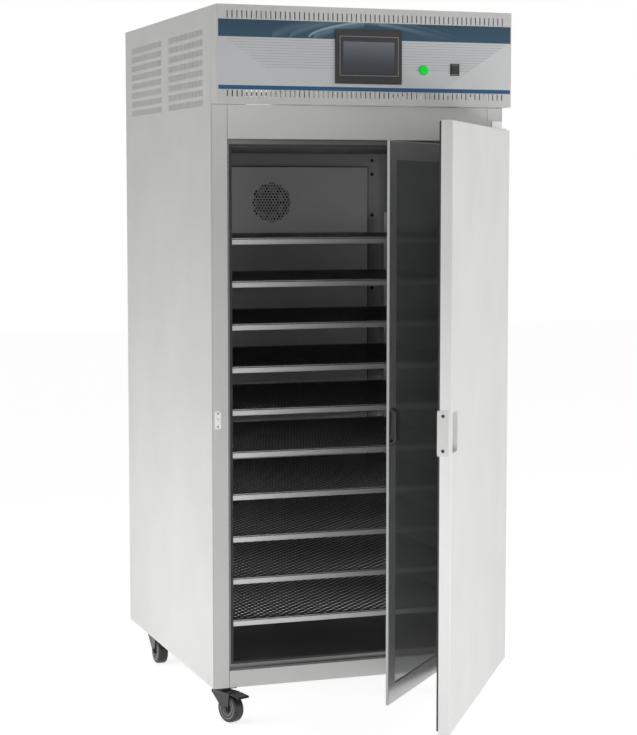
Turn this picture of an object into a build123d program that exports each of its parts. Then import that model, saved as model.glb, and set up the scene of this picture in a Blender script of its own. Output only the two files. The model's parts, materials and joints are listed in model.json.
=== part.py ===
from build123d import *
import math
import os

# A tall environmental test chamber on casters, with an outer door, an inner glass door
# and ten shelves. Millimetres, +Z up, front towards -Y. The origin is on the floor, under
# the middle of the cabinet. The doors are modelled open, as the chamber is loaded.

# Cabinet
body_width = 818.0
body_depth = 910.0
body_height = 1777.0
base_height = 92.0
skin = 1.5
corner_radius = 3.0
panel_gap = 0.8

# Header box over the doors
header_height = 249.0
header_projection = 57.0
header_skin = 2.0
header_slots = 60
header_slot_width = 3.0
upper_slot_height = 19.0
lower_slot_height = 16.0
upper_slot_drop = 25.0
lower_slot_rise = 25.5
slot_side_margin = 28.0

# Front frame round the opening
pillar_width = 44.0
pillar_depth = 20.0
lintel_height = 88.0
sill_height = 45.0
throat_lip = 20.0
throat_side_lip = 17.5
throat_thickness = 3.0
seal_thickness = 2.5
seal_width = 6.0

# Inner chamber
wall_thickness = 46.0
liner_sheet = 1.2
floor_drop = 5.0
rear_wall = 107.0
duct_gap = 45.0
duct_sheet = 1.5
duct_side_margin = 55.0
duct_top_margin = 42.0
duct_bottom_margin = 60.0
grille_radius = 61.0
grille_drop = 148.0
grille_hole_radius = 4.5
grille_pitch = 15.0
rail_width = 26.0
rail_thickness = 2.0
rail_front_inset = 60.0
rail_rear_inset = 15.0
rail_top_rise = 60.0
rail_floor_gap = 40.0
rail_clearance = 0.4

# Shelves
shelf_count = 10
last_shelf_rise = 104.6
first_shelf_drop = 237.0
shelf_side_gap = 22.0
shelf_duct_gap = 56.0
shelf_sheet = 1.5
shelf_lip = 17.0
shelf_side_lip = 10.0
shelf_front_inset = 24.0
clip_height = 5.0
clip_depth = 12.0
clip_length = 16.0
clip_gap = 0.1

# Air handling behind the duct cover and machine space on top
fan_radius = 52.0
fan_depth = 18.0
fan_blades = 7
fan_hub_radius = 16.0
fan_clearance = 5.0
motor_radius = 34.0
motor_gap = 1.0
shaft_radius = 4.0
shaft_clearance = 0.05
coil_width = 520.0
coil_height = 260.0
coil_depth = 22.0
coil_drop = 300.0
heater_radius = 4.0
heater_span = 420.0
heater_rise = 90.0
heater_drop = 640.0
compressor_radius = 75.0
compressor_height = 170.0
condenser_width = 320.0
condenser_height = 200.0
condenser_depth = 60.0

# Side and rear vents of the machine space
vent_rows = 8
vent_slot_width = 8.0
vent_slot_height = 16.3
vent_slots_per_row = 6
vent_field_length = 343.0
vent_row_pitch = 26.0
vent_top_drop = 61.5
vent_front_margin = 76.0
vent_field_gap = 76.0

# Header fittings, measured from the header's lower left front corner
overlay_thickness = 0.8
overlay_bottom = 35.4
overlay_height = 176.1
overlay_side_margin = 4.0
panel_width = 184.5
panel_height = 138.5
panel_depth = 6.0
panel_left = 317.5
panel_bottom = 54.5
screen_width = 142.0
screen_height = 79.0
screen_thickness = 0.6
screen_rise = 29.0
button_x = 565.5
button_z = 93.0
button_radius = 11.2
button_projection = 7.0
button_travel = 3.0
button_bezel_radius = 12.4
button_bezel_height = 2.5
button_clearance = 0.3
rocker_x = 653.5
rocker_z = 96.0
rocker_width = 22.0
rocker_height = 27.0
rocker_frame_height = 1.8
rocker_frame_wall = 2.0
rocker_clearance = 0.4

# Outer door
outer_door_free_gap = 7.5
outer_door_top_lap = 28.0
outer_door_rise = 25.0
outer_door_thickness = 28.0
outer_door_gap = 9.0
outer_door_skin = 1.2
outer_door_open = 56.0
outer_pin_inset = 5.5
outer_pin_front = 20.0
outer_pin_radius = 3.5
outer_pin_depth = 12.0
pin_clearance = 0.05
hinge_bracket_thickness = 4.0
hinge_bracket_width = 30.0
hinge_bracket_gap = 1.0
gasket_side_inset = 22.0
gasket_end_inset = 1.0
gasket_width = 12.0
gasket_clearance = 0.4
latch_height = 107.0
latch_width = 27.0
latch_thickness = 2.0
latch_reach = 6.0
latch_centre_rise = 742.0
pull_width = 62.0
pull_height = 96.0
pull_depth = 16.0
pull_inset = 14.0

# Inner door
inner_door_free_gap = 11.0
inner_door_bottom_gap = 16.0
inner_door_top_gap = 15.5
inner_door_thickness = 7.0
seal_clearance = 0.5
inner_stile = 46.0
inner_glass_thickness = 4.0
inner_door_open = 48.2
inner_pin_gap = 4.5
inner_pin_depth = 8.0
inner_pin_to_jamb = 9.0
hinge_leaf = 2.5
inner_pin_radius = 2.0
knuckle_radius = 3.9
knuckle_height = 22.0
knuckle_gap = 0.4
inner_hinge_inset = 120.0
handle_height = 90.0
handle_width = 26.0
handle_projection = 13.5
handle_thickness = 4.0
handle_inset = 9.0
handle_centre_rise = 741.0

# Keeper on the left pillar
keeper_height = 48.0
keeper_width = 17.0
keeper_thickness = 2.0
keeper_x = 15.0
keeper_rise = 712.0
keeper_stud_radius = 3.0
keeper_stud_height = 4.5

# Casters
wheel_radius = 37.5
wheel_width = 30.0
wheel_edge = 3.0
hub_radius = 27.0
hub_recess = 2.0
axle_radius = 4.0
axle_clearance = 0.05
caster_trail = 30.0
caster_plate = 58.0
caster_plate_thickness = 2.5
race_radius = 21.0
race_height = 7.0
race_clearance = 0.4
king_pin_radius = 5.0
fork_sheet = 2.5
fork_side_gap = 2.0
fork_crown_back = 26.0
fork_crown_front = 22.0
fork_leg_reach = 44.0
fork_boss_radius = 10.0
pedal_sheet = 2.0
pedal_pivot_ahead = 8.0
pedal_pivot_drop = 2.6
pedal_pin_radius = 1.6
pedal_barrel_radius = 2.8
pedal_length = 44.0
pedal_drop = 6.0
pedal_width = 32.0
pedal_pad_width = 38.0
pedal_pad_length = 30.0
front_caster_inset = 30.0
rear_caster_inset = 181.0
side_caster_inset = 36.0

# Mains cable gland at the rear
gland_radius = 14.0
gland_bore_radius = 6.0
gland_length = 22.0
gland_inset = 120.0
gland_rise = 60.0

# Places that follow from the sizes above
left = -body_width / 2
right = body_width / 2
front = -body_depth / 2
back = body_depth / 2
body_bottom = base_height
body_top = base_height + body_height
header_bottom = body_top - header_height
header_front = front - header_projection
opening_left = left + pillar_width
opening_right = right - pillar_width
opening_top = header_bottom - lintel_height
opening_bottom = body_bottom + sill_height
throat_front = front + pillar_depth
throat_left = opening_left + throat_side_lip
throat_right = opening_right - throat_side_lip
throat_top = opening_top - throat_lip
throat_bottom = opening_bottom + throat_lip
chamber_floor = throat_bottom - floor_drop
chamber_left = left + wall_thickness
chamber_right = right - wall_thickness
chamber_front = throat_front + throat_thickness
chamber_back = back - rear_wall
duct_front = chamber_back - duct_gap
grille_z = throat_top - grille_drop
machine_floor = header_bottom
first_shelf_z = throat_top - first_shelf_drop
shelf_front = chamber_front + shelf_front_inset
shelf_back = duct_front - shelf_duct_gap
shelf_depth = shelf_back - shelf_front
shelf_width = chamber_right - chamber_left - 2 * shelf_side_gap
shelf_pitch = (first_shelf_z - throat_bottom - last_shelf_rise) / (shelf_count - 1)
outer_door_width = body_width - outer_door_free_gap
outer_door_height = opening_top + outer_door_top_lap - body_bottom - outer_door_rise
inner_door_width = (opening_right - opening_left - inner_pin_to_jamb - inner_pin_gap
                    - inner_door_free_gap)

gland_place = (right - gland_inset, machine_floor + gland_rise)

os.makedirs("parts", exist_ok=True)


def block(x_range, y_range, z_range, mode=Mode.ADD):
    """Add or cut a block that spans the given low and high X, Y and Z."""
    low = (x_range[0], y_range[0], z_range[0])
    size = (x_range[1] - x_range[0], y_range[1] - y_range[0], z_range[1] - z_range[0])
    with Locations(low):
        Box(*size, align=(Align.MIN, Align.MIN, Align.MIN), mode=mode)


def save(builder, name):
    """Label a finished piece and write its STEP file."""
    builder.part.label = name
    export_step(builder.part, f"parts/{name}.step")


def facing_front(y):
    """Plane at depth y that faces the front: local X is +X and local Y is +Z."""
    return Plane(origin=(0, y, 0), x_dir=(1, 0, 0), z_dir=(0, -1, 0))


def facing_right(x):
    """Plane at x that faces right: local X is +Y and local Y is +Z."""
    return Plane(origin=(x, 0, 0), x_dir=(0, 1, 0), z_dir=(1, 0, 0))


def facing_left(x):
    """Plane at x that faces left: local X is -Y and local Y is +Z."""
    return Plane(origin=(x, 0, 0), x_dir=(0, -1, 0), z_dir=(-1, 0, 0))


def carried(frame, plane):
    """The given plane, carried into the frame of a door or a caster."""
    return Plane(frame.location * plane.location)


# Base frame: an upturned pan behind the sill, with two cross channels over the casters
base_rim = 30.0
channel_width = 70.0
base_front = throat_front + panel_gap
base_back = back - skin - 2 * panel_gap
with BuildPart() as base_frame:
    with BuildSketch(Plane.XY.offset(body_bottom)):
        with Locations((0, (base_front + base_back) / 2)):
            Rectangle(body_width - 2 * (skin + panel_gap), base_back - base_front)
    extrude(amount=base_rim)
    offset(amount=-2 * skin, openings=base_frame.faces().sort_by(Axis.Z)[-1])
    with BuildSketch(Plane.XY.offset(body_bottom + skin)):
        for channel_y in (base_front + channel_width / 2 + 2 * skin, back - rear_caster_inset):
            with Locations((0, channel_y)):
                Rectangle(body_width - 8 * skin, channel_width)
    extrude(amount=base_rim / 2)
save(base_frame, "base_frame")


# Side panels: folded sheets with two fields of vent slots for the machine space
def vent_fields():
    """Slot centres of both vent fields as (distance from the front, height)."""
    step = (vent_field_length - vent_slot_width) / (vent_slots_per_row - 1)
    first = vent_front_margin + vent_slot_width / 2
    starts = (first, first + vent_field_length + vent_field_gap)
    top = body_top - vent_top_drop
    return [
        (start + column * step, top - row * vent_row_pitch)
        for start in starts
        for column in range(vent_slots_per_row)
        for row in range(vent_rows)
    ]


side_fold = 16.0
for name, side_x, inward in (("left_side_panel", left, 1), ("right_side_panel", right, -1)):
    with BuildPart() as side_panel:
        with BuildSketch(facing_left(side_x)):
            with Locations((0, body_bottom + body_height / 2)):
                Rectangle(body_depth - 2 * panel_gap, body_height)
            with Locations(*[(-(front + y), z) for y, z in vent_fields()]):
                Rectangle(vent_slot_width, vent_slot_height, mode=Mode.SUBTRACT)
        extrude(amount=-inward * skin)
        x_fold = sorted((side_x, side_x + inward * side_fold))
        fold_top = (body_top - skin, body_top)
        block(x_fold, (front + skin, back - panel_gap), fold_top)
        block(x_fold, (back - panel_gap - skin, back - panel_gap), (body_bottom, body_top))
    save(side_panel, name)


# Top panel and rear panel close the cabinet
with BuildPart() as top_panel:
    with BuildSketch(Plane.XY.offset(body_top - 2 * skin - panel_gap)):
        Rectangle(body_width - 2 * (skin + panel_gap), body_depth - 4 * skin - 2 * panel_gap)
    extrude(amount=skin)
save(top_panel, "top_panel")

louvre_count = 9
louvre_length = 300.0
louvre_height = 8.0
louvre_pitch = 20.0
rear_top = body_top - 3 * skin - 2 * panel_gap
with BuildPart() as rear_panel:
    with BuildSketch(facing_front(back - skin)):
        with Locations((0, (body_bottom + rear_top) / 2)):
            Rectangle(body_width - 2 * (side_fold + panel_gap), rear_top - body_bottom)
        with Locations((0, header_bottom + header_height / 2)):
            with GridLocations(0, louvre_pitch, 1, louvre_count):
                Rectangle(louvre_length, louvre_height, mode=Mode.SUBTRACT)
        with Locations(gland_place):
            Circle(gland_bore_radius, mode=Mode.SUBTRACT)
    extrude(amount=-skin)
save(rear_panel, "rear_panel")


# Pillars, lintel and sill round the door opening
pillar_top = header_bottom - panel_gap
for name, x_low in (("left_pillar", left + skin + panel_gap), ("right_pillar", opening_right)):
    x_high = opening_left if x_low < 0 else right - skin - panel_gap
    with BuildPart() as pillar:
        block((x_low, x_high), (front, throat_front), (body_bottom, pillar_top))
        fillet(pillar.edges().filter_by(Axis.Z).group_by(Axis.Y)[0], skin)
    save(pillar, name)

with BuildPart() as lintel_panel:
    block((opening_left + panel_gap, opening_right - panel_gap), (front, throat_front),
          (opening_top, pillar_top))
    fillet(lintel_panel.edges().filter_by(Axis.X).group_by(Axis.Y)[0].sort_by(Axis.Z)[0], skin)
save(lintel_panel, "lintel_panel")

with BuildPart() as sill_panel:
    block((opening_left + panel_gap, opening_right - panel_gap), (front, throat_front),
          (body_bottom, opening_bottom))
    fillet(sill_panel.edges().filter_by(Axis.X).group_by(Axis.Y)[0].sort_by(Axis.Z)[-1], skin)
save(sill_panel, "sill_panel")


# Throat frame: the stop that the inner door closes against, and its seal
throat_height = throat_top - throat_bottom
throat_middle = (throat_top + throat_bottom) / 2
with BuildPart() as throat_frame:
    with BuildSketch(facing_front(throat_front)):
        with Locations((0, (opening_top + opening_bottom) / 2)):
            Rectangle(opening_right - opening_left + 2 * skin,
                      opening_top - opening_bottom + 2 * skin)
        with Locations((0, throat_middle)):
            Rectangle(throat_right - throat_left, throat_height, mode=Mode.SUBTRACT)
    extrude(amount=-throat_thickness)
save(throat_frame, "throat_frame")

seal_inset = 0.5
with BuildPart() as throat_seal:
    with BuildSketch(facing_front(throat_front)):
        with Locations((0, throat_middle)):
            RectangleRounded(throat_right - throat_left + 2 * (seal_inset + seal_width),
                             throat_height + 2 * (seal_inset + seal_width), 2 * seal_inset)
            Rectangle(throat_right - throat_left + 2 * seal_inset,
                      throat_height + 2 * seal_inset, mode=Mode.SUBTRACT)
    extrude(amount=seal_thickness)
save(throat_seal, "throat_seal")


# Inner liner: a tub of stainless sheet, open at the front, its floor below the throat to hold water
with BuildPart() as inner_liner:
    block((chamber_left - liner_sheet, chamber_right + liner_sheet),
          (chamber_front, chamber_back + liner_sheet),
          (chamber_floor - liner_sheet, throat_top + liner_sheet))
    offset(amount=-liner_sheet, openings=inner_liner.faces().sort_by(Axis.Y)[0])
save(inner_liner, "inner_liner")


# Insulation fills the walls between the liner and the outer panels
insulation_gap = 1.0
insulation_back = back - 4 * skin - 40.0
with BuildPart() as insulation:
    with BuildSketch(facing_front(chamber_front)):
        with Locations((0, (opening_bottom + machine_floor) / 2)):
            Rectangle(body_width - 2 * (side_fold + insulation_gap),
                      machine_floor - opening_bottom - 2 * insulation_gap)
    extrude(amount=-(insulation_back - chamber_front))
    block((chamber_left - liner_sheet, chamber_right + liner_sheet),
          (chamber_front, chamber_back + liner_sheet),
          (chamber_floor - liner_sheet, throat_top + liner_sheet), mode=Mode.SUBTRACT)
save(insulation, "insulation")


# Duct cover: a shallow tray in front of the back wall, with the fan grille in it
duct_left = chamber_left + duct_side_margin
duct_right = chamber_right - duct_side_margin
duct_top = throat_top - duct_top_margin
duct_bottom = throat_bottom + duct_bottom_margin


def grille_holes():
    """Hole centres of the fan grille: a triangular pattern clipped to a circle."""
    reach = grille_radius - grille_hole_radius
    rows = int(reach // (grille_pitch * math.sqrt(3) / 2))
    columns = int(reach // grille_pitch) + 1
    spots = []
    for row in range(-rows, rows + 1):
        for column in range(-columns, columns + 1):
            x = (column + 0.5 * (row % 2)) * grille_pitch
            z = row * grille_pitch * math.sqrt(3) / 2
            if math.hypot(x, z) <= reach:
                spots.append((x, grille_z + z))
    return spots


with BuildPart() as duct_cover:
    block((duct_left, duct_right), (duct_front, chamber_back), (duct_bottom, duct_top))
    fillet(duct_cover.edges().filter_by(Axis.Z).group_by(Axis.Y)[0], 2 * corner_radius)
    offset(amount=-duct_sheet, openings=duct_cover.faces().sort_by(Axis.Y)[-1])
    with BuildSketch(facing_front(duct_front)):
        with Locations(*grille_holes()):
            RegularPolygon(grille_hole_radius, 6)
    extrude(amount=-2 * duct_sheet, mode=Mode.SUBTRACT)
save(duct_cover, "duct_cover")


# Circulation fan: a hub with pitched blades, on the motor's shaft
fan_front = duct_front + duct_sheet + fan_clearance
motor_front = fan_front + fan_depth + motor_gap
with BuildPart() as fan_motor:
    with BuildSketch(facing_front(motor_front)):
        with Locations((0, grille_z)):
            Circle(motor_radius)
    extrude(amount=-(chamber_back - motor_front))
    chamfer(fan_motor.faces().sort_by(Axis.Y)[0].edges(), 2 * skin)
    with BuildSketch(facing_front(motor_front)):
        with Locations((0, grille_z)):
            Circle(shaft_radius)
    extrude(amount=fan_depth + motor_gap)
save(fan_motor, "fan_motor")

blade_sheet = 1.2
blade_pitch = 35.0
with BuildPart() as circulation_fan:
    with BuildSketch(facing_front(fan_front + fan_depth)):
        with Locations((0, grille_z)):
            Circle(fan_hub_radius)
    extrude(amount=fan_depth)
    for index in range(fan_blades):
        spoke = 2 * math.pi * index / fan_blades
        root = (math.cos(spoke) * (fan_hub_radius - skin), math.sin(spoke) * (fan_hub_radius - skin))
        with BuildSketch(Plane(origin=(root[0], fan_front + fan_depth / 2, grille_z + root[1]),
                               x_dir=(0, 1, 0), z_dir=(math.cos(spoke), 0, math.sin(spoke)))):
            Rectangle(fan_depth, blade_sheet, rotation=blade_pitch)
        extrude(amount=fan_radius - fan_hub_radius)
    with BuildSketch(facing_front(fan_front + fan_depth)):
        with Locations((0, grille_z)):
            Circle(shaft_radius + shaft_clearance)
    extrude(amount=fan_depth, mode=Mode.SUBTRACT)
save(circulation_fan, "circulation_fan")


# Cooling coil: a finned block with its tube headers at both ends, behind the duct cover
coil_top = throat_top - coil_drop
coil_front = chamber_back - coil_depth - 6 * skin
coil_header = 10.0
coil_rows = 6
with BuildPart() as cooling_coil:
    block((-coil_width / 2, coil_width / 2), (coil_front, coil_front + coil_depth),
          (coil_top - coil_height, coil_top))
    row_pitch = coil_height / coil_rows
    with BuildSketch(facing_right(-coil_width / 2 - coil_header)):
        with Locations((coil_front + coil_depth / 2, coil_top - coil_height / 2)):
            with GridLocations(0, row_pitch, 1, coil_rows):
                Rectangle(coil_header, row_pitch / 2)
    extrude(amount=coil_width + 2 * coil_header)
save(cooling_coil, "cooling_coil")


# Air heater: a flat hairpin element below the coil
heater_top = throat_top - heater_drop
heater_y = duct_front + duct_gap / 2
with BuildPart() as air_heater:
    with BuildSketch(facing_front(heater_y + heater_radius)):
        with Locations((0, heater_top - heater_rise / 2)):
            Rectangle(heater_span + 2 * heater_radius, heater_rise + 2 * heater_radius)
        with Locations((-heater_radius, heater_top - heater_rise / 2)):
            Rectangle(heater_span, heater_rise - 2 * heater_radius, mode=Mode.SUBTRACT)
    extrude(amount=2 * heater_radius)
save(air_heater, "air_heater")


# Compressor and condenser stand on the machine floor, behind the header
with BuildPart() as compressor:
    with BuildSketch(Plane.XY.offset(machine_floor)):
        with Locations((-body_width / 5, back - 2.2 * compressor_radius)):
            Circle(compressor_radius)
    extrude(amount=compressor_height)
    chamfer(compressor.faces().sort_by(Axis.Z)[-1].edges(), compressor_radius / 3)
save(compressor, "compressor")

condenser_fin_pitch = 16.0
condenser_back = back - 2.2 * compressor_radius
with BuildPart() as condenser:
    with BuildSketch(Plane.XY.offset(machine_floor)):
        with Locations((body_width / 5, condenser_back)):
            Rectangle(condenser_width, condenser_depth)
            with GridLocations(condenser_fin_pitch, 0,
                               int(condenser_width / condenser_fin_pitch) - 1, 1):
                with Locations((0, condenser_depth / 2)):
                    Rectangle(skin, condenser_depth / 6)
    extrude(amount=condenser_height)
save(condenser, "condenser")


# Shelf rails: slotted strips on both side walls, with a clip under each shelf end
shelf_tops = [first_shelf_z - index * shelf_pitch for index in range(shelf_count)]
rail_top = first_shelf_z + rail_top_rise
rail_bottom = throat_bottom + rail_floor_gap
rail_ys = (shelf_front + rail_front_inset, shelf_back - rail_rear_inset - rail_width)
with BuildPart() as shelf_rails:
    for wall_x, inward in ((chamber_left, 1), (chamber_right, -1)):
        face_x = wall_x + inward * (rail_clearance + rail_thickness)
        clip_start = face_x + inward * clip_gap
        clip_end = inward * (clip_length - shelf_width / 2)
        for rail_y in rail_ys:
            block(sorted((wall_x + inward * rail_clearance, face_x)),
                  (rail_y, rail_y + rail_width), (rail_bottom, rail_top))
            for top in shelf_tops:
                clip_top = top - shelf_sheet - rail_clearance
                block(sorted((clip_start, clip_end)),
                      (rail_y + (rail_width - clip_depth) / 2,
                       rail_y + (rail_width + clip_depth) / 2),
                      (clip_top - clip_height, clip_top))
save(shelf_rails, "shelf_rails")


# Shelves: sheets with a deep front lip and shallow lips on the other sides
for index, top in enumerate(shelf_tops):
    with BuildPart() as shelf:
        with BuildSketch(Plane.XY.offset(top)):
            with Locations((0, (shelf_front + shelf_back) / 2)):
                Rectangle(shelf_width, shelf_depth)
        extrude(amount=-shelf_sheet)
        for x_low in (-shelf_width / 2, shelf_width / 2 - shelf_sheet):
            block((x_low, x_low + shelf_sheet),
                  (shelf_front, rail_ys[0] - 2 * shelf_sheet), (top - shelf_side_lip, top))
        block((-shelf_width / 2, shelf_width / 2), (shelf_front, shelf_front + shelf_sheet),
              (top - shelf_lip, top))
        block((-shelf_width / 2, shelf_width / 2), (shelf_back - shelf_sheet, shelf_back),
              (top - shelf_side_lip, top))
        fillet(shelf.edges().filter_by(Axis.X).group_by(Axis.Y)[0].sort_by(Axis.Z)[-1],
               shelf_sheet * 0.6)
    save(shelf, f"shelf_{index + 1:02d}")


# Header box: a folded cover with two rows of upright slots in its front
header_back = front - panel_gap / 2
slot_span = body_width - 2 * slot_side_margin
slot_step = slot_span / (header_slots - 1)
upper_slot_z = body_top - upper_slot_drop
lower_slot_z = header_bottom + lower_slot_rise
with BuildPart() as header_box:
    block((left, right), (header_front, header_back), (header_bottom, body_top))
    fillet(header_box.edges().filter_by(Axis.Z).group_by(Axis.Y)[0], corner_radius)
    offset(amount=-header_skin, openings=header_box.faces().sort_by(Axis.Y)[-1])
    with BuildSketch(facing_front(header_front)):
        for slot_z, slot_height in ((upper_slot_z, upper_slot_height),
                                    (lower_slot_z, lower_slot_height)):
            with Locations((0, slot_z)):
                with GridLocations(slot_step, 0, header_slots, 1):
                    Rectangle(header_slot_width, slot_height)
    extrude(amount=-2 * header_skin, mode=Mode.SUBTRACT)
save(header_box, "header_box")


# Printed overlay on the header, cut out round the touch panel, button and rocker
panel_x = left + panel_left + panel_width / 2
panel_z = header_bottom + panel_bottom + panel_height / 2
button_place = (left + button_x, header_bottom + button_z)
rocker_place = (left + rocker_x, header_bottom + rocker_z)
rocker_outer = (rocker_width + 2 * rocker_frame_wall, rocker_height + 2 * rocker_frame_wall)
with BuildPart() as control_overlay:
    with BuildSketch(facing_front(header_front)):
        with Locations((0, header_bottom + overlay_bottom + overlay_height / 2)):
            Rectangle(body_width - 2 * overlay_side_margin, overlay_height)
        with Locations((panel_x, panel_z)):
            Rectangle(panel_width, panel_height, mode=Mode.SUBTRACT)
        with Locations(button_place):
            Circle(button_bezel_radius, mode=Mode.SUBTRACT)
        with Locations(rocker_place):
            Rectangle(*rocker_outer, mode=Mode.SUBTRACT)
    extrude(amount=overlay_thickness)
save(control_overlay, "control_overlay")

with BuildPart() as touch_panel:
    with BuildSketch(facing_front(header_front)):
        with Locations((panel_x, panel_z)):
            RectangleRounded(panel_width, panel_height, corner_radius)
    extrude(amount=panel_depth)
    chamfer(touch_panel.faces().sort_by(Axis.Y)[0].edges(), skin)
    screen_centre = (panel_x, panel_z + (screen_rise - (panel_height - screen_height) / 2))
    with BuildSketch(facing_front(header_front - panel_depth)):
        with Locations(screen_centre):
            Rectangle(screen_width, screen_height)
    extrude(amount=-screen_thickness, mode=Mode.SUBTRACT)
save(touch_panel, "touch_panel")

screen_recess = 0.3
with BuildPart() as touch_screen:
    with BuildSketch(facing_front(header_front - panel_depth + screen_thickness)):
        with Locations(screen_centre):
            Rectangle(screen_width, screen_height)
    extrude(amount=screen_thickness - screen_recess)
save(touch_screen, "touch_screen")


# Round illuminated push button in a bezel ring
with BuildPart() as button_bezel:
    with BuildSketch(facing_front(header_front)):
        with Locations(button_place):
            Circle(button_bezel_radius)
    extrude(amount=button_bezel_height)
    chamfer(button_bezel.faces().sort_by(Axis.Y)[0].edges(), skin / 3)
    with BuildSketch(facing_front(header_front)):
        with Locations(button_place):
            Circle(button_radius + button_clearance)
    extrude(amount=button_bezel_height, mode=Mode.SUBTRACT)
save(button_bezel, "button_bezel")

button_edge = 1.2
with BuildPart() as push_button:
    with BuildSketch(facing_front(header_front - button_travel - button_clearance)):
        with Locations(button_place):
            Circle(button_radius)
    extrude(amount=button_projection - button_travel)
    chamfer(push_button.faces().sort_by(Axis.Y)[0].edges(), button_edge)
save(push_button, "push_button")


# Rocker switch in its frame: the rocker tilts about a level axis through its middle
rocker_y = header_front - rocker_frame_height
rocker_rise = 3.2
rocker_dip = 2.2
rocker_edge = 1.5
with BuildPart() as rocker_frame:
    with BuildSketch(facing_front(header_front)):
        with Locations(rocker_place):
            RectangleRounded(*rocker_outer, skin)
            Rectangle(rocker_width, rocker_height, mode=Mode.SUBTRACT)
    extrude(amount=rocker_frame_height)
save(rocker_frame, "rocker_frame")

rocker_half = rocker_height / 2 - rocker_clearance
rocker_back = 1.5
with BuildPart() as rocker_switch:
    rocker_end = rocker_half - rocker_edge
    with BuildSketch(facing_right(rocker_place[0] - rocker_width / 2 + rocker_clearance)):
        with BuildLine():
            low_z, high_z = rocker_place[1] - rocker_end, rocker_place[1] + rocker_end
            face = ThreePointArc((rocker_y - rocker_rise, high_z),
                                 (rocker_y - rocker_dip, rocker_place[1]),
                                 (rocker_y - rocker_rise, low_z))
            floor = ThreePointArc((rocker_y, low_z), (rocker_y + rocker_back, rocker_place[1]),
                                  (rocker_y, high_z))
            Line(face @ 1, floor @ 0)
            Line(floor @ 1, face @ 0)
        make_face()
    extrude(amount=rocker_width - 2 * rocker_clearance)
save(rocker_switch, "rocker_switch")


# Mains cable gland on the rear panel
with BuildPart() as power_gland:
    with BuildSketch(facing_front(back)):
        with Locations(gland_place):
            RegularPolygon(gland_radius, 6)
    extrude(amount=-gland_length / 3)
    with BuildSketch(facing_front(back + gland_length / 3)):
        with Locations(gland_place):
            Circle(gland_radius * 0.8)
    extrude(amount=-gland_length * 2 / 3)
    chamfer(power_gland.faces().sort_by(Axis.Y)[-1].edges(), skin)
    with BuildSketch(facing_front(back)):
        with Locations(gland_place):
            Circle(gland_bore_radius)
    extrude(amount=-gland_length, mode=Mode.SUBTRACT)
save(power_gland, "power_gland")


# Striker keeper on the left pillar: a round-ended plate with a short stud
with BuildPart() as strike_keeper:
    with BuildSketch(facing_front(front)):
        with Locations((left + keeper_x, body_bottom + keeper_rise)):
            SlotOverall(keeper_height, keeper_width, rotation=90)
    extrude(amount=keeper_thickness)
    with BuildSketch(facing_front(front - keeper_thickness)):
        with Locations((left + keeper_x, body_bottom + keeper_rise)):
            Circle(keeper_stud_radius)
    extrude(amount=keeper_stud_height)
    chamfer(strike_keeper.faces().sort_by(Axis.Y)[0].edges(), keeper_stud_radius / 3)
save(strike_keeper, "strike_keeper")


# Outer door, in the frame of its hinge pin: X runs to the hinge side, Y to the rear
outer_pin = (right - outer_pin_inset, front - outer_pin_front)
outer_turn = math.radians(outer_door_open)
outer_frame = Plane(origin=(*outer_pin, 0), z_dir=(0, 0, 1),
                    x_dir=(math.cos(outer_turn), math.sin(outer_turn), 0))
door_bottom = body_bottom + outer_door_rise
door_top = door_bottom + outer_door_height
door_x = (outer_pin_inset - outer_door_width, outer_pin_inset)
door_y = (outer_pin_front - outer_door_gap - outer_door_thickness,
          outer_pin_front - outer_door_gap)
pull_x = door_x[0] + pull_inset + pull_width / 2
pull_z = body_bottom + latch_centre_rise
with BuildPart(outer_frame) as outer_door_pan:
    block(door_x, door_y, (door_bottom, door_top))
    outer_edges = outer_door_pan.faces().sort_by(Axis(outer_frame.origin, outer_frame.y_dir))[0]
    fillet(outer_edges.edges(), corner_radius)
    inner_face = outer_door_pan.faces().sort_by(Axis(outer_frame.origin, outer_frame.y_dir))[-1]
    offset(amount=-outer_door_skin, openings=inner_face)
    with BuildSketch(carried(outer_frame, facing_front(door_y[0]))):
        with Locations((pull_x, pull_z)):
            RectangleRounded(pull_width, pull_height, 3 * corner_radius)
    extrude(amount=-2 * outer_door_skin, mode=Mode.SUBTRACT)
    with Locations((0, 0, (door_bottom + door_top) / 2)):
        Cylinder(outer_pin_radius + pin_clearance, outer_door_height, mode=Mode.SUBTRACT)
save(outer_door_pan, "outer_door_pan")

pull_undercut = 7.0
with BuildPart(outer_frame) as outer_door_liner:
    core_radius = corner_radius - outer_door_skin
    block((door_x[0] + outer_door_skin, door_x[1] - outer_door_skin),
          (door_y[0] + outer_door_skin, door_y[1]),
          (door_bottom + outer_door_skin, door_top - outer_door_skin))
    core_front = outer_door_liner.faces().sort_by(Axis(outer_frame.origin, outer_frame.y_dir))[0]
    fillet(core_front.edges(), core_radius)
    block((pull_x - pull_width / 2 - pull_undercut, pull_x + pull_width / 2),
          (door_y[0], door_y[0] + pull_depth),
          (pull_z - pull_height / 2, pull_z + pull_height / 2), mode=Mode.SUBTRACT)
    for pin_z in (door_bottom + outer_pin_depth, door_top - outer_pin_depth):
        with Locations((0, 0, pin_z)):
            Cylinder(outer_pin_radius + pin_clearance, 2 * outer_pin_depth + 2,
                     mode=Mode.SUBTRACT)
save(outer_door_liner, "outer_door_liner")

gasket_outer = (outer_door_width - 2 * gasket_side_inset,
                outer_door_height - 2 * gasket_end_inset)
with BuildPart() as outer_door_gasket:
    with BuildSketch(carried(outer_frame, facing_front(door_y[1]))):
        with Locations(((door_x[0] + door_x[1]) / 2, (door_bottom + door_top) / 2)):
            RectangleRounded(*gasket_outer, gasket_width / 2)
            Rectangle(gasket_outer[0] - 2 * gasket_width, gasket_outer[1] - 2 * gasket_width,
                      mode=Mode.SUBTRACT)
    extrude(amount=-(outer_door_gap - gasket_clearance))
save(outer_door_gasket, "outer_door_gasket")

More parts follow.
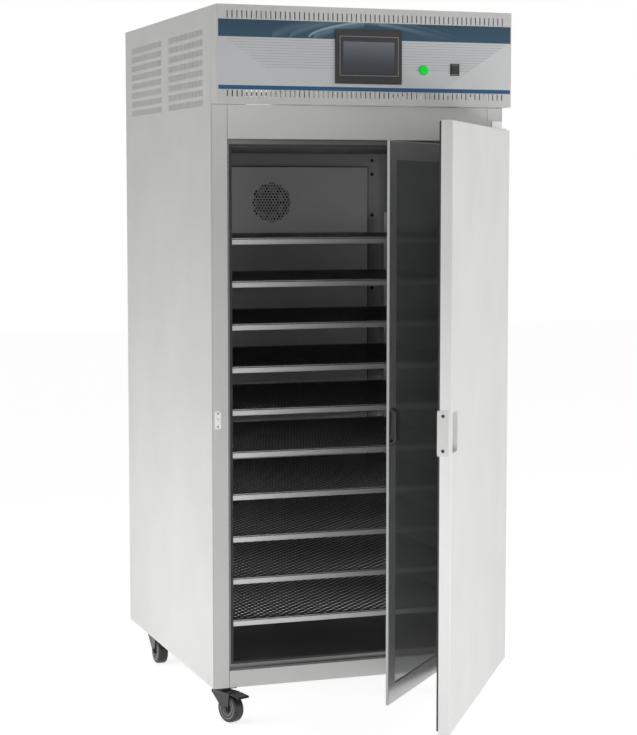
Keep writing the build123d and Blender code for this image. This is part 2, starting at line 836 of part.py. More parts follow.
latch_back = door_y[1] + latch_reach
with BuildPart(outer_frame) as latch_plate:
    block((door_x[0] - latch_thickness, door_x[0]), (latch_back - latch_width, latch_back),
          (pull_z - latch_height / 2, pull_z + latch_height / 2))
    fillet(latch_plate.edges().filter_by(Axis(outer_frame.origin, outer_frame.x_dir)), skin)
save(latch_plate, "latch_plate")


# Inner door, in the frame of its own hinge pin
inner_pin = (opening_right - inner_pin_to_jamb, front + inner_pin_depth)
inner_turn = math.radians(inner_door_open)
inner_frame = Plane(origin=(*inner_pin, 0), z_dir=(0, 0, 1),
                    x_dir=(math.cos(inner_turn), math.sin(inner_turn), 0))
leaf_x = (-inner_pin_gap - inner_door_width, -inner_pin_gap)
leaf_back = pillar_depth - seal_thickness - seal_clearance - inner_pin_depth
leaf_y = (leaf_back - inner_door_thickness, leaf_back)
leaf_bottom = opening_bottom + inner_door_bottom_gap
leaf_top = opening_top - inner_door_top_gap
leaf_middle = ((leaf_x[0] + leaf_x[1]) / 2, (leaf_bottom + leaf_top) / 2)
window = (inner_door_width - 2 * inner_stile, leaf_top - leaf_bottom - 2 * inner_stile)
glass_overlap = 10.0
glass_play = 0.3
hinge_zs = (leaf_bottom + inner_hinge_inset, leaf_middle[1], leaf_top - inner_hinge_inset)
with BuildPart(inner_frame) as inner_door_frame:
    with BuildSketch(carried(inner_frame, facing_front(leaf_y[1]))):
        with Locations(leaf_middle):
            Rectangle(inner_door_width, leaf_top - leaf_bottom)
            Rectangle(*window, mode=Mode.SUBTRACT)
    extrude(amount=inner_door_thickness)
    leaf_front = inner_door_frame.faces().sort_by(Axis(inner_frame.origin,
                                                       inner_frame.y_dir))[0]
    chamfer(leaf_front.edges(), skin / 2)
    groove = inner_glass_thickness + 2 * glass_play
    with BuildSketch(carried(inner_frame, facing_front((leaf_y[0] + leaf_y[1] + groove) / 2))):
        with Locations(leaf_middle):
            Rectangle(window[0] + 2 * glass_overlap, window[1] + 2 * glass_overlap)
    extrude(amount=groove, mode=Mode.SUBTRACT)
    for hinge_z in hinge_zs:
        block((2 * leaf_x[1], 0), (leaf_y[0], knuckle_radius),
              (hinge_z - knuckle_height / 2, hinge_z + knuckle_height / 2))
        with Locations((0, 0, hinge_z)):
            Cylinder(knuckle_radius, knuckle_height)
            Cylinder(inner_pin_radius + pin_clearance, knuckle_height, mode=Mode.SUBTRACT)
save(inner_door_frame, "inner_door_frame")

with BuildPart() as inner_door_glass:
    glass_back = (leaf_y[0] + leaf_y[1] + inner_glass_thickness) / 2
    with BuildSketch(carried(inner_frame, facing_front(glass_back))):
        with Locations(leaf_middle):
            Rectangle(window[0] + 2 * (glass_overlap - glass_play),
                      window[1] + 2 * (glass_overlap - glass_play))
    extrude(amount=inner_glass_thickness)
save(inner_door_glass, "inner_door_glass")

# Pull handle: a bridge with slanted ends
handle_x = leaf_x[0] + handle_inset
handle_z = body_bottom + handle_centre_rise
handle_slope = 10.0
with BuildPart() as inner_door_handle:
    with BuildSketch(carried(inner_frame, facing_right(handle_x))):
        with Locations((leaf_y[0] - handle_projection / 2, handle_z)):
            Trapezoid(handle_height, handle_projection,
                      math.degrees(math.atan2(handle_projection, handle_slope)), rotation=90)
        with Locations((leaf_y[0] - (handle_projection - handle_thickness) / 2, handle_z)):
            Trapezoid(handle_height - 3 * handle_thickness, handle_projection - handle_thickness,
                      math.degrees(math.atan2(handle_projection, handle_slope)), rotation=90,
                      mode=Mode.SUBTRACT)
    extrude(amount=handle_width)
save(inner_door_handle, "inner_door_handle")


# Hinge brackets on the cabinet: pivot brackets of the outer door, knuckles of the inner door
bracket_back = 10.0
bracket_flange = 3.0
bracket_flange_height = 24.0
with BuildPart() as hinge_brackets:
    for end_z, outward in ((door_bottom, -1), (door_top, 1)):
        near_z = end_z + outward * hinge_bracket_gap
        far_z = near_z + outward * hinge_bracket_thickness
        flange_z = near_z + outward * bracket_flange_height
        bracket_x = (outer_pin[0] - hinge_bracket_width / 2 - bracket_back,
                     outer_pin[0] + outer_pin_inset - skin)
        block(bracket_x, (outer_pin[1] - bracket_back, front), sorted((near_z, far_z)))
        block(bracket_x, (front - bracket_flange, front), sorted((near_z, flange_z)))
        pin_z = sorted((near_z, end_z - outward * outer_pin_depth))
        with Locations((*outer_pin, (pin_z[0] + pin_z[1]) / 2)):
            Cylinder(outer_pin_radius, pin_z[1] - pin_z[0])
    for hinge_z in hinge_zs:
        reach = knuckle_height * 1.5 + knuckle_gap
        for side in (-1, 1):
            middle = hinge_z + side * (knuckle_height + knuckle_gap)
            with Locations((*inner_pin, middle)):
                Cylinder(knuckle_radius, knuckle_height)
            block((inner_pin[0], opening_right),
                  (inner_pin[1] + knuckle_radius - hinge_leaf, inner_pin[1] + knuckle_radius),
                  (middle - knuckle_height / 2, middle + knuckle_height / 2))
        with Locations((*inner_pin, hinge_z)):
            Cylinder(inner_pin_radius, 2 * reach)
        block((opening_right - hinge_leaf, opening_right), (front + skin, throat_front),
              (hinge_z - reach, hinge_z + reach))
save(hinge_brackets, "hinge_brackets")


# Casters
plate_bottom = body_bottom - caster_plate_thickness
crown_top = plate_bottom - race_height - race_clearance
crown_bottom = crown_top - fork_sheet
fork_inside = wheel_width + 2 * fork_side_gap
fork_outside = fork_inside + 2 * fork_sheet
king_head_radius = 7.5
king_head_height = 2.0
casters = {
    "front_left": (left + side_caster_inset, front + front_caster_inset, -66.0),
    "front_right": (right - side_caster_inset, front + front_caster_inset, 150.0),
    "rear_left": (left + side_caster_inset, back - rear_caster_inset, -87.0),
    "rear_right": (right - side_caster_inset, back - rear_caster_inset, -80.0),
}
king_foot = crown_bottom - race_clearance - king_head_height
with BuildPart() as caster_plates:
    for x, y, turn in casters.values():
        with BuildSketch(Plane.XY.offset(plate_bottom)):
            with Locations((x, y)):
                Rectangle(caster_plate, caster_plate)
        extrude(amount=caster_plate_thickness)
        with BuildSketch(Plane.XY.offset(plate_bottom)):
            with Locations((x, y)):
                Circle(race_radius)
        extrude(amount=-race_height, taper=12)
        with BuildSketch(Plane.XY.offset(king_foot)):
            with Locations((x, y)):
                Circle(king_pin_radius)
        extrude(amount=plate_bottom - race_height - king_foot)
        with BuildSketch(Plane.XY.offset(king_foot)):
            with Locations((x, y)):
                RegularPolygon(king_head_radius, 6)
        extrude(amount=king_head_height)
save(caster_plates, "caster_plates")

# Each caster in its own frame: the origin on its swivel axis, X towards its trailing wheel
leg_bottom = wheel_radius - fork_boss_radius
crown_band = 6.0
pivot_x = fork_leg_reach - pedal_pivot_ahead
pivot_z = crown_top - pedal_pivot_drop
axle_head_radius = 7.0
axle_head_height = 3.0
axle_head_gap = 0.1
axle_head_y = fork_outside / 2 + axle_head_gap
web_half = wheel_width / 2 - hub_recess
wheel_half = wheel_width / 2
wheel_side = [
    (web_half, axle_radius + axle_clearance),
    (web_half, hub_radius - hub_recess),
    (wheel_half, hub_radius),
    (wheel_half, wheel_radius - wheel_edge),
    (wheel_half - wheel_edge, wheel_radius),
]
wheel_outline = [(across, wheel_radius + out) for across, out in wheel_side]
wheel_outline += [(-across, up) for across, up in reversed(wheel_outline)]
tread_x = pivot_x + pedal_length
tread_z = pivot_z - pedal_drop
for place, (x, y, turn) in casters.items():
    angle = math.radians(turn)
    caster = Plane(origin=(x, y, 0), z_dir=(0, 0, 1),
                   x_dir=(math.cos(angle), math.sin(angle), 0))
    braked = place.startswith("front")
    across_axle = Location((caster_trail, 0, wheel_radius), (90, 0, 0))
    across_pivot = Location((pivot_x, 0, pivot_z), (90, 0, 0))
    with BuildPart(caster) as fork:
        block((-fork_crown_back, fork_leg_reach), (-fork_outside / 2, fork_outside / 2),
              (leg_bottom, crown_top))
        crown_edges = fork.edges().filter_by(Axis(caster.origin, caster.x_dir))
        fillet(crown_edges.group_by(Axis.Z)[-1], corner_radius)
        block((-fork_crown_back, fork_leg_reach), (-fork_inside / 2, fork_inside / 2),
              (leg_bottom, crown_bottom), mode=Mode.SUBTRACT)
        block((fork_crown_front, fork_leg_reach), (-fork_inside / 2, fork_inside / 2),
              (crown_bottom, crown_top), mode=Mode.SUBTRACT)
        with BuildSketch(carried(caster, facing_front(fork_outside / 2))):
            with Locations((caster_trail, wheel_radius)):
                Circle(fork_boss_radius)
            with Locations(((fork_leg_reach - fork_crown_back) / 2, crown_top - crown_band / 2)):
                Rectangle(fork_leg_reach + fork_crown_back, crown_band)
            make_hull()
        extrude(amount=fork_outside, mode=Mode.INTERSECT)
        with Locations((0, 0, crown_top)):
            Cylinder(king_pin_radius + axle_clearance, 4 * fork_sheet, mode=Mode.SUBTRACT)
        with Locations(across_axle):
            Cylinder(axle_radius + axle_clearance, fork_outside, mode=Mode.SUBTRACT)
            Cylinder(axle_radius, fork_outside + 2 * axle_head_gap)
        for head_y in (-axle_head_y, axle_head_y + axle_head_height):
            with BuildSketch(carried(caster, facing_front(head_y))):
                with Locations((caster_trail, wheel_radius)):
                    RegularPolygon(axle_head_radius, 6)
            extrude(amount=axle_head_height)
        if braked:
            with Locations(across_pivot):
                Cylinder(pedal_pin_radius + axle_clearance, fork_outside, mode=Mode.SUBTRACT)
                Cylinder(pedal_pin_radius, fork_outside)
    save(fork, f"fork_{place}")

    with BuildPart() as wheel:
        with BuildSketch(carried(caster, facing_right(caster_trail))):
            Polygon(*wheel_outline, align=None)
        hub_centre = caster.from_local_coords(Vector(caster_trail, 0, wheel_radius))
        revolve(axis=Axis(hub_centre, caster.y_dir))
    save(wheel, f"wheel_{place}")

    if braked:
        with BuildPart() as pedal:
            for width, start_x in ((pedal_width, pivot_x),
                                   (pedal_pad_width, tread_x - pedal_pad_length)):
                slope = pedal_drop / pedal_length
                start_z = pivot_z + pedal_barrel_radius - (start_x - pivot_x) * slope
                with BuildSketch(carried(caster, facing_front(width / 2))):
                    Polygon((start_x, start_z), (tread_x, tread_z + pedal_barrel_radius),
                            (tread_x + pedal_sheet, tread_z - pedal_sheet),
                            (tread_x, tread_z - pedal_sheet),
                            (tread_x - pedal_sheet, tread_z + pedal_barrel_radius - pedal_sheet),
                            (start_x, start_z - pedal_sheet), align=None)
                    if start_x == pivot_x:
                        with Locations((pivot_x, pivot_z)):
                            Circle(pedal_barrel_radius)
                            Circle(pedal_pin_radius + axle_clearance, mode=Mode.SUBTRACT)
                extrude(amount=width)
        save(pedal, f"pedal_{place}")
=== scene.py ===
import json
import math
import bmesh
import bpy
from mathutils import Matrix, Vector
from mathutils.geometry import tessellate_polygon


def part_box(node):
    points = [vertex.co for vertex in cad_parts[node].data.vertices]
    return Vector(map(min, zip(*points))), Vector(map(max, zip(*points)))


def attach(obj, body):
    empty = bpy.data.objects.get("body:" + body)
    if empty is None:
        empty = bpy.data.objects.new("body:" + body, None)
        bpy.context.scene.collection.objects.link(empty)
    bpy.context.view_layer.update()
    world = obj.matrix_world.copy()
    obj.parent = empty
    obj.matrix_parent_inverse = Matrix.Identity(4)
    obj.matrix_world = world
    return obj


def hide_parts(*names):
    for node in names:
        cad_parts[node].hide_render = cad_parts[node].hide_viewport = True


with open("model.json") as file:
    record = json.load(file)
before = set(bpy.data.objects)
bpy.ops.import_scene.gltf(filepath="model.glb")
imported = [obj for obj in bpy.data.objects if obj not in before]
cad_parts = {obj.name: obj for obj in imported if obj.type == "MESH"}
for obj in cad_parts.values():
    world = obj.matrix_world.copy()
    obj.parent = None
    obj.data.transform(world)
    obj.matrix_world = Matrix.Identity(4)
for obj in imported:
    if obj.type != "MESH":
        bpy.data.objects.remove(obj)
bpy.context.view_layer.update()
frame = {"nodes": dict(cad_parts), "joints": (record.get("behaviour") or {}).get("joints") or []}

scene = bpy.context.scene
nodes = frame["nodes"]

# main planes of the cabinet and the height of the fan grille's middle, in metres
LEFT, RIGHT, FRONT, BACK = -0.409, 0.409, -0.455, 0.455
TOP, HEADER_FRONT, GRILLE_Z = 1.869, -0.512, 1.364
SHEET = 0.0015
PAST_SHEET = SHEET + 0.0001
CASTERS = ("front_left", "front_right", "rear_left", "rear_right")


# ---------------------------------------------------------------- materials
def add(tree, kind, inputs=None, **settings):
    """A shader node with its settings and inputs; an input that is a socket is linked."""
    made = tree.nodes.new("ShaderNode" + kind)
    for key, value in settings.items():
        setattr(made, key, value)
    for key, value in (inputs or {}).items():
        if isinstance(value, bpy.types.NodeSocket):
            tree.links.new(value, made.inputs[key])
        else:
            made.inputs[key].default_value = value
    return made


def start(name):
    material = bpy.data.materials.new(name)
    material.use_nodes = True
    tree = material.node_tree
    tree.nodes.clear()
    return material, tree


def shown(tree, shader):
    out = tree.nodes.new("ShaderNodeOutputMaterial")
    tree.links.new(shader, out.inputs["Surface"])


def stretched(tree, scale):
    """Object coordinates in metres, scaled for each axis."""
    place = add(tree, "TexCoord").outputs["Object"]
    return add(tree, "Mapping", {"Vector": place, "Scale": scale}).outputs["Vector"]


def noise(tree, vector, scale, detail=3.0, rough=0.5):
    return add(tree, "TexNoise", {"Vector": vector, "Scale": scale, "Detail": detail,
                                  "Roughness": rough}).outputs["Fac"]


def ramp(tree, factor, low, high):
    """The factor's middle range, spread from low to high."""
    return add(tree, "MapRange", {"Value": factor, "From Min": 0.3, "From Max": 0.7,
                                  "To Min": low, "To Max": high}).outputs["Result"]


def mix(tree, factor, a, b):
    """A blend of two colours."""
    made = add(tree, "Mix", data_type="RGBA")
    for index, value in ((0, factor), (6, a), (7, b)):
        if isinstance(value, bpy.types.NodeSocket):
            tree.links.new(value, made.inputs[index])
        else:
            made.inputs[index].default_value = value
    return made.outputs[2]


def shade(color, factor):
    return tuple(min(1.0, c * factor) for c in color[:3]) + (1.0,)


def calc(tree, operation, a, b=0.0):
    made = add(tree, "Math", {0: a, 1: b}, operation=operation)
    return made.outputs[0]


def coated(name, color, rough=0.42, grain=650.0, depth=0.00012, patch=0.03, metallic=0.0):
    """Powder coat or moulded plastic: faint cloudy colour, and a fine even grain."""
    material, tree = start(name)
    place = stretched(tree, (1, 1, 1))
    cloud = noise(tree, place, 5.0, 4.0)
    fine = noise(tree, place, grain, 2.0)
    base = mix(tree, ramp(tree, cloud, 0.0, 1.0), shade(color, 1 - patch), shade(color, 1 + patch))
    bump = add(tree, "Bump", {"Height": fine, "Strength": 0.35, "Distance": depth})
    shader = add(tree, "BsdfPrincipled", {
        "Base Color": base, "Metallic": metallic,
        "Roughness": ramp(tree, noise(tree, place, 40.0, 3.0), rough - 0.06, rough + 0.06),
        "Normal": bump.outputs["Normal"]})
    shown(tree, shader.outputs[0])
    return material


def brushed(name, color, rough=0.34, scale=(3.0, 3.0, 900.0), depth=0.00004, patch=0.10):
    """Sheet steel with fine brush lines across the axis that has the large scale."""
    material, tree = start(name)
    lines = noise(tree, stretched(tree, scale), 1.0, 5.0, 0.65)
    cloud = noise(tree, stretched(tree, (1, 1, 1)), 3.5, 3.0)
    worn = calc(tree, "MULTIPLY", calc(tree, "ADD", lines, cloud), 0.5)
    base = mix(tree, ramp(tree, worn, 0.0, 1.0), shade(color, 1 - patch), shade(color, 1 + patch))
    bump = add(tree, "Bump", {"Height": lines, "Strength": 0.5, "Distance": depth})
    shader = add(tree, "BsdfPrincipled", {
        "Base Color": base, "Metallic": 1.0,
        "Roughness": ramp(tree, lines, rough - 0.07, rough + 0.09),
        "Normal": bump.outputs["Normal"]})
    shown(tree, shader.outputs[0])
    return material


def glass(name, color, rough=0.03):
    """Tinted glass with faint smears."""
    material, tree = start(name)
    place = stretched(tree, (1, 1, 1))
    smear = noise(tree, place, 6.0, 5.0, 0.6)
    shader = add(tree, "BsdfPrincipled", {
        "Base Color": color, "IOR": 1.5, "Transmission Weight": 1.0,
        "Roughness": ramp(tree, smear, rough, rough + 0.05)})
    shown(tree, shader.outputs[0])
    return material


def between(tree, value, low, high):
    """1 where the value lies between low and high."""
    return calc(tree, "MULTIPLY", calc(tree, "GREATER_THAN", value, low),
                calc(tree, "LESS_THAN", value, high))


def printed_overlay():
    """Blue band with pale sweeps, grey field with fine ruled lines, blue lower stripe."""
    material, tree = start("overlay_print")
    place = add(tree, "TexCoord").outputs["Object"]
    xyz = add(tree, "SeparateXYZ", {"Vector": place})
    x, z = xyz.outputs["X"], xyz.outputs["Z"]
    field = mix(tree, ramp(tree, noise(tree, place, 8.0), 0.0, 1.0),
                (0.76, 0.775, 0.79, 1), (0.80, 0.812, 0.82, 1))
    # fine ruled lines between two diagonals
    rule_foot, rule_pitch, rule_share, rule_head, lean = 1.7125, 0.0069, 0.13, 1.782, 1.50
    rule = calc(tree, "FRACT", calc(tree, "MULTIPLY", calc(tree, "SUBTRACT", z, rule_foot),
                                    1 / rule_pitch))
    ruled = calc(tree, "LESS_THAN", rule, rule_share)
    run = calc(tree, "MULTIPLY", calc(tree, "SUBTRACT", rule_head, z), lean)
    left_edge = calc(tree, "ADD", run, LEFT + 0.025)
    right_edge = calc(tree, "SUBTRACT", LEFT + 0.799, run)
    inside = calc(tree, "MULTIPLY", calc(tree, "GREATER_THAN", x, left_edge),
                  calc(tree, "LESS_THAN", x, right_edge))
    inside = calc(tree, "MULTIPLY", inside, between(tree, z, 1.712, 1.7845))
    corner = calc(tree, "MULTIPLY", calc(tree, "GREATER_THAN", x, right_edge),
                  calc(tree, "LESS_THAN", z, 1.788))
    field = mix(tree, calc(tree, "MULTIPLY", corner, 0.5), field, (0.92, 0.92, 0.92, 1))
    field = mix(tree, calc(tree, "MULTIPLY", calc(tree, "MULTIPLY", inside, ruled), 0.75),
                field, (0.30, 0.32, 0.34, 1))
    # the blue band, darkest at its top, with pale curved sweeps
    band_top, band_bottom, stripe_top = 1.8315, 1.7878, 1.6657
    depth = calc(tree, "MULTIPLY", calc(tree, "SUBTRACT", band_top, z),
                 1 / (band_top - band_bottom))
    blue = mix(tree, depth, (0.014, 0.058, 0.105, 1), (0.024, 0.088, 0.148, 1))
    for x0, z0, x1, z1, bend, wide, strength, fades in (
            (-0.262, 1.7885, -0.118, 1.8345, 0.62, 0.0150, 0.16, False),
            (-0.215, 1.7885, -0.075, 1.8345, 0.60, 0.0100, 0.22, False),
            (-0.164, 1.7885, -0.015, 1.8345, 0.52, 0.0050, 0.95, False),
            (-0.150, 1.7885, -0.010, 1.8300, 0.62, 0.0120, 0.30, False),
            (-0.020, 1.8330, 0.245, 1.7900, 1.60, 0.0075, 0.42, True),
            (0.010, 1.8360, 0.290, 1.7885, 1.90, 0.0035, 0.34, True),
            (0.030, 1.8280, 0.205, 1.7885, 1.50, 0.0060, 0.24, True)):
        u = add(tree, "MapRange", {"Value": x, "From Min": x0, "From Max": x1}).outputs["Result"]
        curve = calc(tree, "ADD", calc(tree, "MULTIPLY", calc(tree, "POWER", u, bend), z1 - z0), z0)
        away = calc(tree, "ABSOLUTE", calc(tree, "SUBTRACT", z, curve))
        near = calc(tree, "SUBTRACT", 1.0, calc(tree, "MULTIPLY", away, 1 / wide))
        glow = calc(tree, "MAXIMUM", near, 0.0)
        fade = calc(tree, "MULTIPLY", between(tree, x, x0, x1), strength)
        if fades:
            fade = calc(tree, "MULTIPLY", fade, calc(tree, "SUBTRACT", 1.0, u))
        blue = mix(tree, calc(tree, "MULTIPLY", glow, fade), blue, (0.40, 0.56, 0.66, 1))
    color = mix(tree, calc(tree, "GREATER_THAN", z, band_bottom), field, blue)
    color = mix(tree, calc(tree, "LESS_THAN", z, stripe_top), color, (0.012, 0.105, 0.250, 1))
    fine = noise(tree, place, 900.0, 2.0)
    bump = add(tree, "Bump", {"Height": fine, "Strength": 0.2, "Distance": 0.00005})
    shader = add(tree, "BsdfPrincipled", {
        "Base Color": color, "Roughness": ramp(tree, noise(tree, place, 50.0), 0.34, 0.42),
        "Normal": bump.outputs["Normal"]})
    shown(tree, shader.outputs[0])
    return material


def panel_plastic():
    """Black moulded bezel with a thin pale outline printed round the screen."""
    material, tree = start("touch_panel_plastic")
    place = add(tree, "TexCoord").outputs["Object"]
    xyz = add(tree, "SeparateXYZ", {"Vector": place})
    x, z = xyz.outputs["X"], xyz.outputs["Z"]
    x0, x1, z0, z1, wide = LEFT + 0.3290, LEFT + 0.4920, 1.6950, 1.7965, 0.0014
    outer = calc(tree, "MULTIPLY", between(tree, x, x0, x1), between(tree, z, z0, z1))
    inner = calc(tree, "MULTIPLY", between(tree, x, x0 + wide, x1 - wide),
                 between(tree, z, z0 + wide, z1 - wide))
    line = calc(tree, "SUBTRACT", outer, inner)
    dark = mix(tree, noise(tree, place, 30.0), (0.018, 0.018, 0.020, 1), (0.026, 0.026, 0.028, 1))
    color = mix(tree, line, dark, (0.36, 0.36, 0.37, 1))
    bump = add(tree, "Bump", {"Height": noise(tree, place, 1500.0, 2.0), "Strength": 0.4,
                              "Distance": 0.00006})
    shader = add(tree, "BsdfPrincipled", {
        "Base Color": color, "Roughness": ramp(tree, noise(tree, place, 60.0), 0.42, 0.52),
        "Normal": bump.outputs["Normal"]})
    shown(tree, shader.outputs[0])
    return material


def screen_face():
    """An unlit display with a fine pixel mesh; its grey-blue top fading to dark lower down is a
    painted reflection.
    """
    material, tree = start("touch_screen_face")
    place = add(tree, "TexCoord").outputs["Object"]
    xyz = add(tree, "SeparateXYZ", {"Vector": place})
    x, z = xyz.outputs["X"], xyz.outputs["Z"]
    screen_foot, screen_head, mesh_scale = 1.704, 1.783, 2600.0
    # painted reflection: the colour runs from dark at the screen's foot to grey-blue at its head
    height = add(tree, "MapRange", {"Value": z, "From Min": screen_foot, "From Max": screen_head})
    color = mix(tree, calc(tree, "POWER", height.outputs["Result"], 1.6),
                (0.022, 0.028, 0.048, 1), (0.185, 0.205, 0.240, 1))
    mesh = calc(tree, "MULTIPLY", calc(tree, "SINE", calc(tree, "MULTIPLY", x, mesh_scale)),
                calc(tree, "SINE", calc(tree, "MULTIPLY", z, mesh_scale)))
    color = mix(tree, calc(tree, "MULTIPLY", calc(tree, "GREATER_THAN", mesh, 0.6), 0.10),
                color, (0.30, 0.33, 0.38, 1))
    shader = add(tree, "BsdfPrincipled", {
        "Base Color": color, "Roughness": ramp(tree, noise(tree, place, 30.0), 0.10, 0.18)})
    shown(tree, shader.outputs[0])
    return material


def lit_button():
    """Green plastic, lit from inside."""
    material, tree = start("button_green_lit")
    place = add(tree, "TexCoord").outputs["Object"]
    color = mix(tree, noise(tree, place, 80.0), (0.0, 0.40, 0.02, 1), (0.0, 0.50, 0.03, 1))
    shader = add(tree, "BsdfPrincipled", {
        "Base Color": color, "Emission Color": (0.0, 0.76, 0.03, 1), "Emission Strength": 0.60,
        "Specular IOR Level": 0.15,
        "Roughness": ramp(tree, noise(tree, place, 60.0), 0.18, 0.26)})
    shown(tree, shader.outputs[0])
    return material


M = {
    "body": coated("body_powder_coat", (0.80, 0.80, 0.785, 1)),
    "door": coated("door_powder_coat", (0.86, 0.86, 0.85, 1)),
    "steel": brushed("liner_stainless", (0.50, 0.50, 0.50, 1), 0.40, (3, 3, 700)),
    # painted light: the duct's steel is much paler than the liner's steel, to make up for the dim
    # light in the chamber
    "duct": brushed("duct_stainless_painted_light", (0.74, 0.74, 0.74, 1), 0.46, (40, 40, 700)),
    # painted shade: the shelves' punched top is near-black steel, a shaded copy of the paler steel
    # of their folded edges
    "shelf": brushed("shelf_stainless_painted_shade", (0.085, 0.085, 0.088, 1), 0.36, (2, 700, 700)),
    # painted highlight: the bare walls of the shelf holes are near-white mirror metal, far paler
    # than the shelf's own steel
    "punched": coated("punched_edge_painted_highlight", (0.97, 0.97, 0.97, 1), 0.34, metallic=1.0),
    "lip": brushed("shelf_lip_stainless", (0.52, 0.52, 0.51, 1), 0.42, (2, 700, 700)),
    "rail": brushed("rail_stainless", (0.62, 0.62, 0.61, 1), 0.36, (700, 700, 3)),
    "throat": brushed("throat_stainless", (0.17, 0.17, 0.17, 1), 0.30, (3, 700, 700)),
    "frame": brushed("inner_frame_stainless", (0.36, 0.36, 0.365, 1), 0.20, (600, 600, 4)),
    "rubber": coated("seal_rubber", (0.030, 0.030, 0.031, 1), 0.62, 900.0, 0.0001),
    "foam": coated("insulation_foam", (0.80, 0.74, 0.52, 1), 0.85, 250.0, 0.0008, 0.08),
    "motor": coated("motor_enamel", (0.025, 0.025, 0.028, 1), 0.42, 400.0, 0.0002, 0.10),
    "fan": coated("fan_plastic", (0.008, 0.008, 0.009, 1), 0.62, 900.0),
    "coil": brushed("coil_aluminium", (0.70, 0.70, 0.71, 1), 0.35, (900, 3, 3)),
    "overlay": printed_overlay(),
    "panel": panel_plastic(),
    "screen": screen_face(),
    "button": lit_button(),
    "black": coated("black_moulded_plastic", (0.014, 0.014, 0.015, 1), 0.40, 1100.0, 0.00008,
                    0.12),
    "chrome": brushed("bezel_dark_metal", (0.10, 0.10, 0.10, 1), 0.28, (300, 300, 300)),
    "zinc": brushed("zinc_plate", (0.60, 0.60, 0.59, 1), 0.34, (5, 5, 500)),
    "latch": coated("latch_pale_coat", (0.72, 0.72, 0.71, 1), 0.38),
    "glass": glass("smoked_glass", (0.32, 0.33, 0.34, 1)),
    "caster": coated("caster_black_coat", (0.020, 0.020, 0.021, 1), 0.34, 500.0, 0.00012,
                     0.15),
    "tread": coated("tread_rubber", (0.016, 0.016, 0.017, 1), 0.48, 700.0, 0.00015, 0.15),
    "hub": coated("hub_plastic", (0.030, 0.030, 0.032, 1), 0.36, 700.0, 0.0001, 0.12),
    "ring": coated("ring_grey_plastic", (0.30, 0.30, 0.30, 1), 0.34, 600.0, 0.0001, 0.08),
    "screw": brushed("screw_steel", (0.30, 0.30, 0.30, 1), 0.30, (400, 400, 400)),
    "darkscrew": coated("screw_black_oxide", (0.012, 0.012, 0.012, 1), 0.45, 900.0),
    # painted light: a near-white coat for the pieces behind the header slots
    "painted_light_card": coated("slot_painted_light_coat", (0.95, 0.95, 0.93, 1), 0.55),
}
looks = {
    "body": ["base_frame", "top_panel", "rear_panel", "left_pillar", "right_pillar", "lintel_panel",
             "sill_panel", "header_box", "outer_door_liner", "left_side_panel", "right_side_panel"],
    "door": ["outer_door_pan"],
    "steel": ["inner_liner"], "duct": ["duct_cover"], "throat": ["throat_frame"],
    "rail": ["shelf_rails"], "frame": ["inner_door_frame"],
    "rubber": ["throat_seal", "outer_door_gasket"], "foam": ["insulation"],
    "motor": ["fan_motor", "compressor", "air_heater"], "fan": ["circulation_fan"],
    "coil": ["cooling_coil", "condenser"],
    "shelf": [f"shelf_{i:02d}" for i in range(1, 11)],
    "overlay": ["control_overlay"], "panel": ["touch_panel"], "screen": ["touch_screen"],
    "button": ["push_button"], "chrome": ["button_bezel"],
    "black": ["rocker_frame", "rocker_switch", "inner_door_handle", "power_gland"],
    "zinc": ["strike_keeper", "hinge_brackets"], "latch": ["latch_plate"],
    "glass": ["inner_door_glass"],
    "caster": ["caster_plates", "pedal_front_left", "pedal_front_right"]
              + [f"fork_{place}" for place in CASTERS],
    "tread": [f"wheel_{place}" for place in CASTERS],
}
for key, names in looks.items():
    for name in names:
        data = nodes[name].data
        data.materials.clear()
        data.materials.append(M[key])


# ---------------------------------------------------------------- mesh pieces
def piece(name, mesh, material, body, stands_for=(), lift=0.0):
    """A finished piece that rides on a body: from a new mesh, or from another piece's mesh."""
    if isinstance(mesh, bmesh.types.BMesh):
        data = bpy.data.meshes.new(name)
        bmesh.ops.recalc_face_normals(mesh, faces=mesh.faces)
        mesh.to_mesh(data)
        mesh.free()
        for entry in material if isinstance(material, list) else [material]:
            data.materials.append(entry)
    else:
        data = mesh
    made = bpy.data.objects.new(name, data)
    made.location.z = lift
    scene.collection.objects.link(made)
    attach(made, body)
    if stands_for:
        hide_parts(*stands_for)
    return made


def add_block(bm, low, high, bevel=0.0):
    """A block between two corners, with its edges eased."""
    size = [b - a for a, b in zip(low, high)]
    middle = [(a + b) / 2 for a, b in zip(low, high)]
    place = Matrix.Translation(middle) @ Matrix.Diagonal((*size, 1))
    made = bmesh.ops.create_cube(bm, size=1.0, matrix=place)
    if bevel:
        edges = {e for v in made["verts"] for e in v.link_edges}
        bmesh.ops.bevel(bm, geom=list(edges), offset=bevel, segments=2, affect="EDGES", profile=0.5)


def add_lathe(bm, profile, turns=48, place=Matrix.Identity(4)):
    """A closed profile of (radius, height) turned about local Z."""
    rings = []
    for step in range(turns):
        a = 2 * math.pi * step / turns
        rings.append([bm.verts.new(place @ Vector((r * math.cos(a), r * math.sin(a), h)))
                      for r, h in profile])
    for step in range(turns):
        one, two = rings[step], rings[(step + 1) % turns]
        for i in range(len(profile)):
            j = (i + 1) % len(profile)
            bm.faces.new((one[i], two[i], two[j], one[j]))


